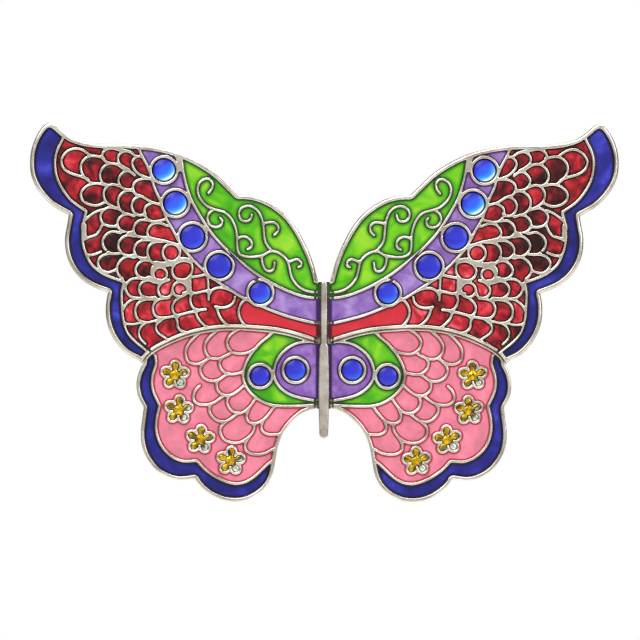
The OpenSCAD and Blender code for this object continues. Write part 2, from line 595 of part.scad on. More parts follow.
// Pin stem with its knuckle, lying closed along X
module pin_stem()
    color("dimgray") difference() {
        translate([-pin_reach, 0, 0]) {
            cylinder(r = knuckle_r, h = knuckle_t, center = true, $fn = ring_fn);
            rotate([0, 90, 0]) cylinder(d = stem_d, h = 2 * pin_reach - taper_l + tip_past, $fn = ring_fn);
            translate([2 * pin_reach - taper_l + tip_past, 0, 0]) rotate([0, 90, 0])
                cylinder(d1 = stem_d, d2 = tip_d, h = taper_l, $fn = ring_fn);
        }
        rivet_hole(rivet_d + 2 * fit_gap);
    }

// A slot that opens backwards, from the axis of the catch
module slot(w, reach, l)
    translate([pin_reach - l / 2, 0, -w / 2]) cube([l, reach, w]);

module along_x(x, r, l)
    translate([x, 0, 0]) rotate([0, 90, 0]) cylinder(r = r, h = l, center = true, $fn = ring_fn);

module catch_base()
    color("silver") difference() {
        union() {
            foot(pin_reach);
            along_x(pin_reach, catch_r, catch_l);
            translate([pin_reach - catch_l / 2, foot_t - standoff, -foot_w / 3])
                cube([catch_l, standoff - foot_t, 2 * foot_w / 3]);
        }
        along_x(pin_reach, barrel_r + fit_gap, 2 * catch_l);
        slot(slot_w + 2 * fit_gap, 2 * catch_r, 2 * catch_l);
    }

// Slotted spool that turns in the catch and shuts its mouth
module catch_rotor() {
    flange_at = catch_l / 2 + fit_gap + flange_t / 2;
    color("darkgray") difference() {
        union() {
            along_x(pin_reach, barrel_r, catch_l + 2 * fit_gap + flange_t);
            along_x(pin_reach - flange_at, flange_r, flange_t);
            along_x(pin_reach + flange_at, flange_r, flange_t);
            translate([pin_reach + flange_at - flange_t / 2, -lever_w / 2, 0])
                cube([flange_t, lever_w, lever_l]);
            translate([pin_reach + flange_at, 0, lever_l]) rotate([0, 90, 0])
                cylinder(d = lever_w, h = flange_t, center = true, $fn = ring_fn);
        }
        along_x(pin_reach, bore_r, 4 * catch_l);
        slot(slot_w, 2 * catch_r, 4 * catch_l);
    }
}

body_bar();
back_rib();
pin_joint();
hinge_rivet();
pin_stem();
catch_base();
catch_rotor();
for (s = SIDES) {
    back_plate(s);
    forewing_frame(s);
    hindwing_frame(s);
    forewing_blue_border(s);
    red_scales(s);
    red_band(s);
    lilac_panels(s);
    green_panel(s);
    pink_scales(s);
    hindwing_blue_border(s);
    green_crescents(s);
    purple_eye(s);
    for (i = [0 : len(DOTS) - 1])
        blue_stone(s, i);
    for (i = [0 : len(FLOWERS) - 1])
        flower(s, i);
}
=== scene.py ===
import json
import math

import bmesh
import bpy
import numpy as np
from bpy.props import FloatProperty, FloatVectorProperty, PointerProperty
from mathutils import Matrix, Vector
from mathutils.geometry import delaunay_2d_cdt
from mathutils.kdtree import KDTree


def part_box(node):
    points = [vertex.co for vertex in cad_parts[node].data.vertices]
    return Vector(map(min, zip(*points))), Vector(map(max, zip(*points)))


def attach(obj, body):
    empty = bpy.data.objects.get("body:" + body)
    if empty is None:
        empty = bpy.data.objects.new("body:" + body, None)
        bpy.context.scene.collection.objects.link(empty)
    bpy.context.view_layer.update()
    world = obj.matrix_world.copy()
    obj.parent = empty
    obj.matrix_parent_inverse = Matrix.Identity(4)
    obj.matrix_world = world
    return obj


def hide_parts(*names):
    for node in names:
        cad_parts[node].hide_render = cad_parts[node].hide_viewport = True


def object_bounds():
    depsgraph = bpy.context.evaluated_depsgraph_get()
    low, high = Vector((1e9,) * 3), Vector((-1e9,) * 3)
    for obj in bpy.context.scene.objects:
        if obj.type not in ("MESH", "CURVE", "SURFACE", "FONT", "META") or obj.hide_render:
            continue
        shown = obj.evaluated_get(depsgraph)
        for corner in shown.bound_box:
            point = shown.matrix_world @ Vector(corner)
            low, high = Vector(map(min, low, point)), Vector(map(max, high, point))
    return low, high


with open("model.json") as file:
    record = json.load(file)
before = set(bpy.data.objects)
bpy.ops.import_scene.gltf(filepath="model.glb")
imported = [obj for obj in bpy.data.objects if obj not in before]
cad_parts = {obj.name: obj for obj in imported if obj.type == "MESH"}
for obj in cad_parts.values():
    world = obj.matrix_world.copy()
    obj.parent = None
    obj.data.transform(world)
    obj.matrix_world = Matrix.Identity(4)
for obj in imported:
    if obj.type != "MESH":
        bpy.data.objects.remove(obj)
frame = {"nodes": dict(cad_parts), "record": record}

bl_info = {
    "name": "Enamelled butterfly brooch",
    "version": (1, 0, 0),
    "blender": (4, 5, 0),
    "location": "3D View > Sidebar > Brooch",
    "description": "Dresses the packed frame of a butterfly brooch in cast metal, enamel and stones",
    "category": "Add Mesh",
}

MM = 0.001
SIDES = ("left", "right")
FLOWER_COUNT = 4
BODIES = frame["record"]["behaviour"]["bodies"]
BODY_OF_NODE = {node: body for body, group in BODIES.items() for node in group}

bpy.context.view_layer.update()
CAD_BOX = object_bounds()


# ---------- colours and material trees ----------
def linear(hex_code):
    """sRGB hex code to linear RGBA."""
    parts = [int(hex_code[i:i + 2], 16) / 255 for i in (1, 3, 5)]
    return tuple(c / 12.92 if c <= 0.04045 else ((c + 0.055) / 1.055) ** 2.4 for c in parts) + (1.0,)


def add(tree, kind, settings=None, links=None, stops=None):
    """Adds a node with its settings and links. A link's source is another node's output or a plain value, and
    stops are a colour ramp's pairs of position and colour."""
    node = tree.nodes.new(kind)
    for key, value in (settings or {}).items():
        setattr(node, key, value)
    for key, source in (links or {}).items():
        if isinstance(source, bpy.types.NodeSocket):
            tree.links.new(source, node.inputs[key])
        else:
            node.inputs[key].default_value = source
    for number, (position, colour) in enumerate(stops or ()):
        elements = node.color_ramp.elements
        element = elements[number] if number < len(elements) else elements.new(1.0)
        element.position, element.color = position, colour
    return node


def new_material(name, **values):
    """A material with plain values on its Principled shader: (material, tree, shader)."""
    material = bpy.data.materials.new(name)
    material.use_nodes = True
    shader = material.node_tree.nodes["Principled BSDF"]
    for key, value in values.items():
        shader.inputs[key.replace("_", " ")].default_value = value
    return material, material.node_tree, shader


def cloud_in(tree, size_mm, detail=3.0, twist=0.0, seed=0.0):
    """A cloud pattern through the piece, with blotches about size_mm across."""
    place = add(tree, "ShaderNodeTexCoord").outputs["Object"]
    moved = add(tree, "ShaderNodeVectorMath", {"operation": "ADD"}, {
        0: place, 1: (seed, seed, seed)}).outputs[0]
    cloud = add(tree, "ShaderNodeTexNoise", None, {
        "Vector": moved, "Scale": 1 / (2 * size_mm * MM), "Detail": detail, "Distortion": twist})
    return cloud.outputs["Fac"]


def shaded_by(tree, name, dark_at, clear_at, colour, dark):
    """The colour, turned dark where the mesh's attribute is dark_at and left alone where it is clear_at."""
    value = add(tree, "ShaderNodeAttribute", {"attribute_name": name}).outputs["Fac"]
    share = add(tree, "ShaderNodeMapRange", {"interpolation_type": "SMOOTHSTEP"}, {
        "Value": value, "From Min": clear_at, "From Max": dark_at}).outputs[0]
    return add(tree, "ShaderNodeMix", {"data_type": "RGBA"}, {0: share, 6: colour, 7: dark}).outputs[2]


def dress(tree, shader, colour, height, depth_mm):
    """Gives the shader its colour and a relief of that depth."""
    relief = add(tree, "ShaderNodeBump", None, {"Height": height, "Distance": depth_mm * MM}).outputs[0]
    tree.links.new(colour, shader.inputs["Base Color"])
    tree.links.new(relief, shader.inputs["Normal"])


def worn(tree, shader, pattern, low, high):
    """Lets the pattern move the shader's roughness between low and high."""
    gloss = add(tree, "ShaderNodeMapRange", None, {
        "Value": pattern, "From Min": 0.35, "From Max": 0.7, "To Min": low, "To Max": high}).outputs[0]
    tree.links.new(gloss, shader.inputs["Roughness"])


# ---------- outlines ----------
# Outlines are in millimetres, as (x, z). CAD points that agree to a thousandth are one point.
KEYS_PER_MM = 1000
# A point that follows another at less than this is dropped
NEAREST = 0.012
# Turns up to this angle are drawn as a round curve, and sharper ones as a corner
GENTLE_TURN = math.radians(38)


def flat_outlines(node, face="front"):
    """Closed outlines of a CAD node's flat front or back, with the solid on their left."""
    mesh = frame["nodes"][node].data
    places = np.empty(len(mesh.vertices) * 3)
    mesh.vertices.foreach_get("co", places)
    places = places.reshape(-1, 3) / MM
    level = places[:, 1].min() if face == "front" else places[:, 1].max()
    keys = [tuple(key) for key in np.round(places[:, ::2] * KEYS_PER_MM).astype(int)]
    onward = {}
    for polygon in mesh.polygons:
        if any(abs(places[v, 1] - level) > 1 / KEYS_PER_MM for v in polygon.vertices):
            continue
        corners = [keys[v] for v in polygon.vertices]
        if face == "back":
            corners.reverse()
        if len(set(corners)) < 3:
            continue
        # An edge that two faces share, once each way, isn't part of the outline
        for a, b in zip(corners, corners[1:] + corners[:1]):
            if a in onward.get(b, ()):
                onward[b].remove(a)
            else:
                onward.setdefault(a, []).append(b)
    loops = []
    for start in list(onward):
        while onward.get(start):
            loop, here = [start], onward[start].pop()
            while here != start and onward.get(here):
                loop.append(here)
                here = onward[here].pop()
            if len(loop) > 2:
                loops.append(np.array(loop) / KEYS_PER_MM)
    return loops


def smooth_loop(points, step, rounds):
    """A closed curve through the points at an even step, with its corners rounded by that many averagings."""
    gap = np.linalg.norm(points - np.roll(points, 1, 0), axis=1)
    p = points[gap > NEAREST]
    # A cubic from each point to the next, which passes a gentle turn without a corner
    edge = np.roll(p, -1, 0) - p
    length = np.linalg.norm(edge, axis=1)[:, None]
    leaving = edge / length
    arriving = np.roll(leaving, 1, 0)
    between = leaving + arriving
    between /= np.maximum(np.linalg.norm(between, axis=1)[:, None], 1e-9)
    gentle = (leaving * arriving).sum(1)[:, None] > math.cos(GENTLE_TURN)
    out_of = np.where(gentle, between, leaving) * length
    into = np.roll(np.where(gentle, between, arriving), -1, 0) * length
    after = np.roll(p, -1, 0)
    pieces = []
    for i in range(len(p)):
        t = (np.arange(max(1, math.ceil(2 * length[i, 0] / step))) * step / 2 / length[i, 0])[:, None]
        t = t[t[:, 0] < 1]
        pieces.append((2 * t ** 3 - 3 * t ** 2 + 1) * p[i] + (t ** 3 - 2 * t ** 2 + t) * out_of[i]
                      + (3 * t ** 2 - 2 * t ** 3) * after[i] + (t ** 3 - t ** 2) * into[i])
    fine = np.concatenate(pieces)
    closed = np.vstack([fine, fine[:1]])
    along = np.concatenate([[0], np.cumsum(np.linalg.norm(np.diff(closed, axis=0), axis=1))])
    marks = np.linspace(0, along[-1], max(8, round(along[-1] / step)), endpoint=False)
    even = np.stack([np.interp(marks, along, closed[:, k]) for k in (0, 1)], 1)
    for _ in range(rounds):
        even = (np.roll(even, 1, 0) + 2 * even + np.roll(even, -1, 0)) / 4
    return even


def shifted(loop, distance):
    """The loop moved towards its solid, or away from it where distance is negative."""
    along = np.roll(loop, -1, 0) - np.roll(loop, 1, 0)
    along /= np.maximum(np.linalg.norm(along, axis=1)[:, None], 1e-9)
    return loop + distance * np.stack([-along[:, 1], along[:, 0]], 1)


class Shore:
    """Measures how far points lie from a set of closed loops."""

    def __init__(self, loops):
        self.here = np.concatenate(loops)
        self.after = np.concatenate([np.roll(loop, -1, 0) for loop in loops])
        self.before = np.concatenate([np.roll(loop, 1, 0) for loop in loops])
        self.tree = KDTree(len(self.here))
        for i, (x, z) in enumerate(self.here):
            self.tree.insert((x, z, 0), i)
        self.tree.balance()

    def distance(self, points):
        """Each point's distance from the nearest loop."""
        near = np.array([self.tree.find((x, z, 0))[1] for x, z in points])
        found = np.full(len(points), 1e9)
        for other in (self.after, self.before):
            start, run = self.here[near], other[near] - self.here[near]
            t = ((points - start) * run).sum(1) / np.maximum((run * run).sum(1), 1e-12)
            foot = start + np.clip(t, 0, 1)[:, None] * run
            found = np.minimum(found, np.linalg.norm(points - foot, axis=1))
        return found


def ring_inside(loop, shore, distance, every=1):
    """Points at a distance inside one loop, less those that come nearer to another part of the shore."""
    ring = shifted(loop, distance)[::every]
    return ring[shore.distance(ring) > 0.93 * distance]


def area_of(loop):
    """The loop's area, which is negative for a hole."""
    x, z = loop[:, 0], loop[:, 1]
    return 0.5 * float(np.sum(x * np.roll(z, -1) - np.roll(x, -1) * z))


def filled(loops, inner_points):
    """Triangles that fill the loops: (points, triangles, for each loop its points' numbers)."""
    points = np.concatenate(list(loops) + ([inner_points] if len(inner_points) else []))
    edges, numbers, first = [], [], 0
    for loop in loops:
        own = list(range(first, first + len(loop)))
        edges += list(zip(own, own[1:] + own[:1]))
        numbers.append(own)
        first += len(loop)
    spots, lines, faces, origin, line_origin, _ = delaunay_2d_cdt(
        [Vector(p) for p in points], edges, [], 1, 1e-6)
    new = {old: i for i, olds in enumerate(origin) for old in olds}
    walls = {frozenset(line) for line, source in zip(lines, line_origin) if source}
    shore_edges = {(new[a], new[b]) for a, b in edges}
    spots = np.array([tuple(s) for s in spots])
    triangles = []
    for face in faces:
        a, b, c = spots[face[0]], spots[face[1]], spots[face[2]]
        turn = (b[0] - a[0]) * (c[1] - a[1]) - (b[1] - a[1]) * (c[0] - a[0])
        triangles.append(tuple(face) if turn > 0 else tuple(reversed(face)))
    # The triangle on an outline's left is inside, and so is all that it reaches without crossing an outline
    owner = {}
    for t, (a, b, c) in enumerate(triangles):
        for line in ((a, b), (b, c), (c, a)):
            owner[line] = t
    queue = [owner[line] for line in shore_edges if line in owner]
    inside = set(queue)
    while queue:
        a, b, c = triangles[queue.pop()]
        for line in ((a, b), (b, c), (c, a)):
            other = owner.get((line[1], line[0]))
            if other is not None and other not in inside and frozenset(line) not in walls:
                inside.add(other)
                queue.append(other)
    return spots, [triangles[t] for t in sorted(inside)], [[new[i] for i in own] for own in numbers]


def grid_inside(loops, spacing, clearance):
    """Points of a staggered grid that lie within the loops and clear of them."""
    every = np.concatenate(loops)
    low, high = every.min(0), every.max(0)
    rows = []
    for k, z in enumerate(np.arange(low[1], high[1], spacing * 0.87)):
        crossings = []
        for loop in loops:
            a, b = loop, np.roll(loop, -1, 0)
            cut = (a[:, 1] <= z) != (b[:, 1] <= z)
            t = (z - a[cut, 1]) / (b[cut, 1] - a[cut, 1])
            crossings.extend(a[cut, 0] + t * (b[cut, 0] - a[cut, 0]))
        crossings.sort()
        for left, right in zip(crossings[::2], crossings[1::2]):
            xs = np.arange(math.ceil(left / spacing), right / spacing) * spacing + (k % 2) * spacing / 2
            rows += [(x, z) for x in xs if left < x < right]
    if not rows:
        return np.empty((0, 2))
    points = np.array(rows)
    return points[Shore(loops).distance(points) > clearance]


# ---------- meshes ----------
def stand_in(name, mesh, material, node):
    """An object of one material that stands for a CAD node and rides on its body."""
    mesh.shade_smooth()
    mesh.materials.clear()
    mesh.materials.append(material)
    made = bpy.data.objects.new(name, mesh)
    bpy.context.scene.collection.objects.link(made)
    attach(made, BODY_OF_NODE[node])
    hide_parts(node)
    return made


def piece(name, vertices, faces, material, node, attributes=None):
    """A stand-in made from points in millimetres, with a value for every point in each attribute."""
    mesh = bpy.data.meshes.new(name)
    mesh.from_pydata((np.asarray(vertices, float) * MM).tolist(), [], faces)
    for key, values in (attributes or {}).items():
        mesh.attributes.new(key, "FLOAT", "POINT").data.foreach_set("value", np.asarray(values, np.float32))
    return stand_in(name, mesh, material, node)


def rounded_fall(distance, radius):
    """How far a quarter-round edge has fallen at that distance from the edge."""
    inward = np.clip(radius - distance, 0, radius)
    return radius - np.sqrt(np.maximum(radius ** 2 - inward ** 2, 0))


# Rings of points along an edge, as shares of its radius: four for the rounding and one to start the flat
RING_SHARES = (0.15, 0.42, 0.8, 1.0, 1.3)
FLAT_GRID = 0.45
# Painted shade darkens by depth in the cells, by this share of the depth on the rim's rounding, and not on
# its side
RIM_SHADE_SHARE = 0.55


def slab(loops, near_y, far_y, edge, outer_edge, lower=None, backward=False):
    """A slab with rounded front edges: (vertices, faces, painted shade). Outer loops are rounded by
    outer_edge, and holes by edge."""
    outer = [loop for loop in loops if area_of(loop) > 0]
    holes = [loop for loop in loops if area_of(loop) <= 0]
    shore = Shore(loops)
    rings = []
    for share in RING_SHARES:
        for loop in loops:
            distance = share * (outer_edge if area_of(loop) > 0 else edge)
            rings.append(ring_inside(loop, shore, distance, 1 if share < 1 else 2))
    rings.append(grid_inside(loops, FLAT_GRID, max(edge, outer_edge) * 1.4))
    spots, triangles, own = filled(loops, np.concatenate(rings))
    fall = rounded_fall(Shore(outer).distance(spots), outer_edge)
    grime = RIM_SHADE_SHARE * fall
    if holes:
        hole_fall = rounded_fall(Shore(holes).distance(spots), edge)
        fall, grime = np.maximum(fall, hole_fall), np.maximum(grime, hole_fall)
    if lower is not None:
        fall = fall + lower(spots)
    sign = 1 if far_y > near_y else -1
    vertices = [(x, near_y + sign * f, z) for (x, z), f in zip(spots, fall)]
    grime = list(grime)
    faces = list(triangles)
    for loop, numbers in zip(loops, own):
        first = len(vertices)
        vertices += [(vertices[i][0], far_y, vertices[i][2]) for i in numbers]
        # The side walls of holes take painted shade for their full depth, and the outer side none
        grime += [0 if area_of(loop) > 0 else abs(far_y - near_y)] * len(numbers)
        count = len(numbers)
        for k in range(count):
            after = (k + 1) % count
            faces.append((numbers[k], first + k, first + after, numbers[after]))
    if backward:
        faces = [tuple(reversed(f)) for f in faces]
    return vertices, faces, grime


# ---------- sizes and looks that a user may change ----------
class BroochSizes(bpy.types.PropertyGroup):
    """Sizes of what the dressing adds to the frame"""
    detail: FloatProperty(
        name="Detail", description="Spacing of the points along every outline", unit="LENGTH",
        default=0.075 * MM, min=0.05 * MM, max=0.2 * MM, precision=6)
    wall_round: FloatProperty(
        name="Wall rounding", description="Radius of the polished wall edges", unit="LENGTH",
        default=0.13 * MM, min=0.05 * MM, max=0.15 * MM, precision=6)
    rim_round: FloatProperty(
        name="Rim rounding", description="Radius of the forewing rim's outer edge", unit="LENGTH",
        default=0.26 * MM, min=0.1 * MM, max=0.35 * MM, precision=6)
    drop_rise: FloatProperty(
        name="Drop height", description="Crown of a red drop of enamel", unit="LENGTH",
        default=0.16 * MM, min=0, max=0.25 * MM, precision=6)
    climb: FloatProperty(
        name="Meniscus", description="How far flat enamel climbs its walls", unit="LENGTH",
        default=0.06 * MM, min=0, max=0.15 * MM, precision=6)
    root_dip: FloatProperty(
        name="Root dip", description="How far the walls sink beside the body", unit="LENGTH",
        default=0.4 * MM, min=0, max=0.8 * MM, precision=6)
    stone_dome: FloatProperty(
        name="Stone dome", description="Height of a blue stone's dome above its girdle", unit="LENGTH",
        default=0.42 * MM, min=0.1 * MM, max=0.6 * MM, precision=6)
    petal_rise: FloatProperty(
        name="Petal crown", description="Crown of a flower's petals", unit="LENGTH",
        default=0.14 * MM, min=0, max=0.2 * MM, precision=6)


class BroochLooks(bpy.types.PropertyGroup):
    """Main colour of each finish"""
    casting: FloatVectorProperty(
        name="Casting", description="Colour of the plated casting", subtype="COLOR", size=4, min=0, max=1,
        default=linear("#dcd3c5"))
    steel: FloatVectorProperty(
        name="Pin steel", description="Colour of the pin", subtype="COLOR", size=4, min=0, max=1,
        default=linear("#c9c8c6"))
    blue: FloatVectorProperty(
        name="Blue enamel", description="Colour of the blue borders", subtype="COLOR", size=4, min=0, max=1,
        default=linear("#20207c"))
    lilac: FloatVectorProperty(
        name="Lilac enamel", description="Colour of the lilac panels", subtype="COLOR", size=4, min=0, max=1,
        default=linear("#8a68b2"))
    purple: FloatVectorProperty(
        name="Purple enamel", description="Colour of the purple eye", subtype="COLOR", size=4, min=0, max=1,
        default=linear("#8a62b4"))
    pink: FloatVectorProperty(
        name="Pink enamel", description="Colour of the pink scales", subtype="COLOR", size=4, min=0, max=1,
        default=linear("#e07c92"))
    red: FloatVectorProperty(
        name="Red enamel", description="Colour of the long cell at the body", subtype="COLOR", size=4, min=0,
        max=1, default=linear("#cb2c3a"))
    ruby: FloatVectorProperty(
        name="Ruby enamel", description="Colour of the ruby drops", subtype="COLOR", size=4, min=0, max=1,
        default=linear("#a11a24"))
    lime: FloatVectorProperty(
        name="Lime enamel", description="Colour of the green cells", subtype="COLOR", size=4, min=0, max=1,
        default=linear("#74c31c"))
    stone: FloatVectorProperty(
        name="Blue glass", description="Colour of the blue stones", subtype="COLOR", size=4, min=0, max=1,
        default=linear("#3136c8"))
    amber: FloatVectorProperty(
        name="Amber crystal", description="Colour of the flowers", subtype="COLOR", size=4, min=0, max=1,
        default=linear("#e8c020"))


def size_of(key):
    """One of the brooch's sizes in millimetres."""
    return getattr(bpy.context.scene.brooch_sizes, key) / MM


def look_of(key):
    """One of the brooch's colours."""
    return tuple(getattr(bpy.context.scene.brooch_looks, key))


# ---------- materials ----------
def plated_casting():
    """Zinc alloy casting, polished and silver-plated: bright wall tops, a faint grain, painted shade at the
    foot.
    """
    material, tree, shader = new_material("polished_plated_zinc_casting", Metallic=1.0, Roughness=0.2)
    cloud = cloud_in(tree, 1.2)
    tone = add(tree, "ShaderNodeValToRGB", None, {0: cloud}, [
        (0.32, linear("#b9b0a2")), (0.5, look_of("casting")), (0.68, linear("#efebe4"))]).outputs[0]
    worn(tree, shader, cloud_in(tree, 0.35, 4, 0, 3.0), 0.16, 0.34)
    # Painted shade by depth towards the walls' foot, then a cast grain of about 0.12 mm
    shaded_tone = shaded_by(tree, "grime", 0.2, 0.03, tone, linear("#3d322b"))
    dress(tree, shader, shaded_tone, cloud_in(tree, 0.12), 0.008)
    return material


def cast_back():
    """The same casting as tumbling leaves it, not polished: satin, with a fine pebble."""
    material, tree, shader = new_material("tumbled_plated_zinc_casting", Metallic=1.0, Roughness=0.36)
    cloud = cloud_in(tree, 2.5, 4)
    tone = add(tree, "ShaderNodeValToRGB", None, {0: cloud}, [
        (0.3, linear("#b9b0a3")), (0.55, look_of("casting")), (0.75, linear("#e2dcd2"))]).outputs[0]
    # Pebbles of 0.5 mm, broken up by specks of 0.3 mm
    place = add(tree, "ShaderNodeTexCoord").outputs["Object"]
    pebble = add(tree, "ShaderNodeTexVoronoi", {"feature": "SMOOTH_F1"}, {
        "Vector": place, "Scale": 1 / (0.5 * MM), "Smoothness": 1.0})
    skin = add(tree, "ShaderNodeMath", {"operation": "ADD"}, {
        0: pebble.outputs["Distance"], 1: cloud_in(tree, 0.3, 4)}).outputs[0]
    worn(tree, shader, cloud, 0.28, 0.46)
    dress(tree, shader, tone, skin, 0.015)
    return material


def pin_steel():
    """Hard-drawn stainless wire: colder and brighter than the casting, with fine lengthwise drawing marks."""
    material, tree, shader = new_material("drawn_stainless_steel", Metallic=1.0, Roughness=0.22)
    # Drawing marks 0.06 mm wide, stretched along the stem
    along = add(tree, "ShaderNodeMapping", None, {
        "Vector": add(tree, "ShaderNodeTexCoord").outputs["Object"], "Scale": (0.03, 1, 1)}).outputs[0]
    marks = add(tree, "ShaderNodeTexNoise", None, {
        "Vector": along, "Scale": 1 / (0.12 * MM), "Detail": 2.0}).outputs["Fac"]
    tone = add(tree, "ShaderNodeValToRGB", None, {0: marks}, [
        (0.35, linear("#a9a8a6")), (0.6, look_of("steel"))]).outputs[0]
    worn(tree, shader, marks, 0.14, 0.32)
    dress(tree, shader, tone, marks, 0.002)
    return material


def glassy(name, **values):
    """A material with a glassy coat over a coloured body, as fired enamel and foiled glass have."""
    settings = {"Roughness": 0.45, "IOR": 1.5, "Specular_IOR_Level": 0.1, "Coat_Weight": 0.45,
                "Coat_Roughness": 0.08, "Coat_IOR": 1.5}
    settings.update(values)
    return new_material(name, **settings)


# Painted shade beside the body: enamel is dark up to the first of these distances from the middle of the
# body, and clear from the second
ROOT_SHADE = (0.74, 0.98)


def opaque_enamel(name, stops, spread_mm, line, line_mm, dark):
    """Opaque enamel, filled by hand and fired: even in the middle, with a deep line along every wall, partly
    deeper colour and partly painted shade.
    """
    material, tree, shader = glassy(name)
    cloud = cloud_in(tree, spread_mm, 3, 0.4, 5.0)
    tone = add(tree, "ShaderNodeValToRGB", None, {0: cloud}, stops).outputs[0]
    # The line along the walls: partly deeper colour, partly painted shade
    lined = shaded_by(tree, "edge", line_mm * 0.4, line_mm * 1.6, tone, line)
    shaded = shaded_by(tree, "root", *ROOT_SHADE, lined, dark)
    dress(tree, shader, shaded, cloud_in(tree, 1.1, 2, 0, 9.0), 0.015)
    return material


def blue_enamel():
    """Opaque ultramarine enamel: brighter clouds along the middle as painted reflection, a broad near-black
    line at the walls.
    """
    # The lighter blues at the ramp's top are painted reflection
    return opaque_enamel("fired_blue_enamel", [
        (0.3, linear("#161562")), (0.48, look_of("blue")), (0.62, linear("#2f2e9c")),
        (0.74, linear("#4448c0"))], 1.3, linear("#0b0828"), 0.2, linear("#0f0c34"))


def lilac_enamel():
    """Opaque lilac enamel, even and milky, with a purple line along the walls."""
    return opaque_enamel("fired_lilac_enamel", [
        (0.3, linear("#774f9e")), (0.5, look_of("lilac")), (0.7, linear("#a88ac8"))],
        0.8, linear("#3c2058"), 0.12, linear("#331a50"))


def purple_enamel():
    """Opaque purple enamel, with faint clouds where the brush laid it thicker."""
    return opaque_enamel("fired_purple_enamel", [
        (0.32, linear("#73499c")), (0.5, look_of("purple")), (0.72, linear("#a47fcc"))],
        0.6, linear("#2c1448"), 0.13, linear("#301450"))


def pink_enamel():
    """Opaque pink enamel: greyer where it lies thick, and a rose line along the walls that is partly deeper
    colour and partly painted shade.
    """
    return opaque_enamel("fired_pink_enamel", [
        (0.32, linear("#cb7588")), (0.5, look_of("pink")), (0.7, linear("#ec8a9e"))],
        0.9, linear("#b02c46"), 0.12, linear("#5c1a2c"))


def band_enamel():
    """Opaque red enamel, plain and even in the long cell at the body."""
    return opaque_enamel("fired_red_enamel", [
        (0.32, linear("#bd2734")), (0.52, look_of("red")), (0.75, linear("#d83c4a"))],
        1.2, linear("#33080d"), 0.12, linear("#430d15"))


def ruby_enamel():
    """Clear ruby enamel over bright metal: crimson with pink painted highlights and near-black patches,
    darker towards the top of the wing and most of all in its middle."""
    material, tree, shader = glassy("transparent_ruby_enamel", Roughness=0.25)
    swirl = cloud_in(tree, 0.62, 1.5, 0.7)
    own = add(tree, "ShaderNodeAttribute", {"attribute_name": "tint"}).outputs["Fac"]
    glow = add(tree, "ShaderNodeMath", {"operation": "MULTIPLY_ADD"}, {0: swirl, 1: 1.15, 2: own}).outputs[0]
    # The ramp's pinks are painted highlights
    tone = add(tree, "ShaderNodeValToRGB", None, {0: glow}, [
        (0.14, linear("#240709")), (0.3, linear("#4d0d13")), (0.42, linear("#7d131b")),
        (0.54, look_of("ruby")), (0.66, linear("#be2732")), (0.8, linear("#d4444e")),
        (0.94, linear("#ec838a"))]).outputs[0]
    # A dark line at the walls: partly deeper colour, partly painted shade
    lined = shaded_by(tree, "edge", 0.05, 0.2, tone, linear("#1f0508"))
    dress(tree, shader, shaded_by(tree, "root", *ROOT_SHADE, lined, linear("#3a0a12")), swirl, 0.03)
    return material


def lime_enamel():
    """Clear lime enamel over bright metal: yellow-green where it is thin, with painted shade in bottle green
    beside the curls.
    """
    material, tree, shader = glassy("transparent_lime_enamel", Roughness=0.25)
    swirl = cloud_in(tree, 1.5, 2.0, 0.9)
    tone = add(tree, "ShaderNodeValToRGB", None, {0: swirl}, [
        (0.3, linear("#3f9f12")), (0.42, linear("#58b414")), (0.53, look_of("lime")),
        (0.64, linear("#8bcb28")), (0.78, linear("#9acd30"))]).outputs[0]
    # Painted shade: a broad bottle-green band beside the walls and curls, then a dark line at them
    soft = shaded_by(tree, "edge", 0.05, 0.5, tone, linear("#37910e"))
    lined = shaded_by(tree, "edge", 0.04, 0.19, soft, linear("#0e3f08"))
    dress(tree, shader, shaded_by(tree, "root", *ROOT_SHADE, lined, linear("#164a0c")), swirl, 0.03)
    return material


def stone_glass():
    """Foil-backed blue glass cabochon: saturated, deeper at the girdle, with a painted pale-cyan highlight on
    one side.
    """
    material, tree, shader = glassy("foil_backed_blue_glass", Roughness=0.3, Coat_Roughness=0.15)
    # The glow attribute is a painted highlight, which the ramp turns pale cyan
    glow = add(tree, "ShaderNodeAttribute", {"attribute_name": "glow"}).outputs["Fac"]
    cloud = cloud_in(tree, 0.5, 2)
    lit = add(tree, "ShaderNodeMath", {"operation": "MULTIPLY_ADD"}, {0: cloud, 1: 0.14, 2: glow}).outputs[0]
    tone = add(tree, "ShaderNodeValToRGB", None, {0: lit}, [
        (0.07, linear("#2426a0")), (0.35, look_of("stone")), (0.6, linear("#2f5fe8")),
        (0.82, linear("#3d98f2")), (0.97, linear("#86d6ff")), (1.0, linear("#d8f4ff"))]).outputs[0]
    dress(tree, shader, shaded_by(tree, "edge", 0.05, 0.2, tone, linear("#100e48")), cloud, 0.01)
    return material


def amber_crystal():
    """Foil-backed amber crystal moulded as a flower: mirror-bright, amber above, with painted silver-white
    reflections in flecks and lower down.
    """
    material, tree, shader = glassy("foil_backed_amber_crystal", Metallic=0.75, Roughness=0.18)
    glow = add(tree, "ShaderNodeAttribute", {"attribute_name": "glow"}).outputs["Fac"]
    swirl = cloud_in(tree, 0.4, 2.0, 0.9)
    fleck = add(tree, "ShaderNodeMath", {"operation": "MULTIPLY_ADD"}, {0: swirl, 1: 0.8, 2: glow}).outputs[0]
    tone = add(tree, "ShaderNodeValToRGB", None, {0: fleck}, [
        (0.3, linear("#5c4700")), (0.42, linear("#c99d06")), (0.56, look_of("amber")),
        (0.68, linear("#9a7a10")), (0.77, linear("#56513a")), (0.86, linear("#d9d7cc")),
        (1.0, linear("#f4f2ea"))]).outputs[0]
    dress(tree, shader, shaded_by(tree, "edge", 0.04, 0.14, tone, linear("#2e2606")), swirl, 0.05)
    return material


